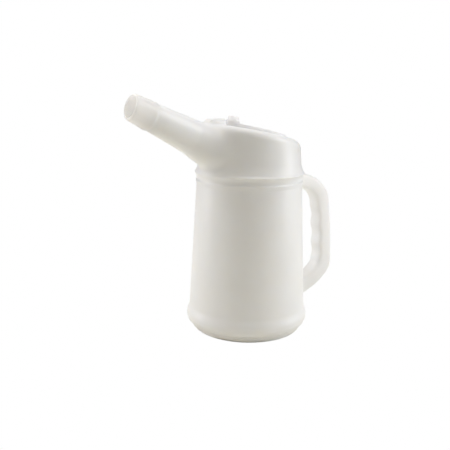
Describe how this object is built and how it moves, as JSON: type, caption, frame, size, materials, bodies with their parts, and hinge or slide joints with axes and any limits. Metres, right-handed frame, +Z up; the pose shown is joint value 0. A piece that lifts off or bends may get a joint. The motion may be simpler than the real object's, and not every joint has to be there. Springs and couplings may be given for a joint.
{
  "type": "plastic jug",
  "caption": "Blow-moulded plastic oil jug with a slanted hood, a long pouring spout, a hollow finger-grip handle and a lid that swings sideways over the filling hole.",
  "frame": {"origin": "middle of the jug's flat underside", "axes": "+Z up along the jug's axis, -X towards the spout, +X towards the handle, and the plane y = 0 halves the jug"},
  "size_m": [0.2728, 0.1364, 0.2624],
  "materials": {
    "body_plastic": "natural translucent white polyethylene, satin",
    "lid_plastic": "natural white polyethylene, satin",
    "stud_plastic": "white polyethylene, satin"
  },
  "bodies": {
    "jug": {"jug_body": "body_plastic", "lid_stud": "stud_plastic"},
    "lid": {"lid": "lid_plastic"}
  },
  "joints": [
    {"name": "lid_swing", "type": "hinge", "parent": "jug", "child": "lid", "pos_m": [-0.02505, 0, 0.22768], "axis": [0.2062, 0, 0.9785], "range_deg": [-70, 70]}
  ]
}
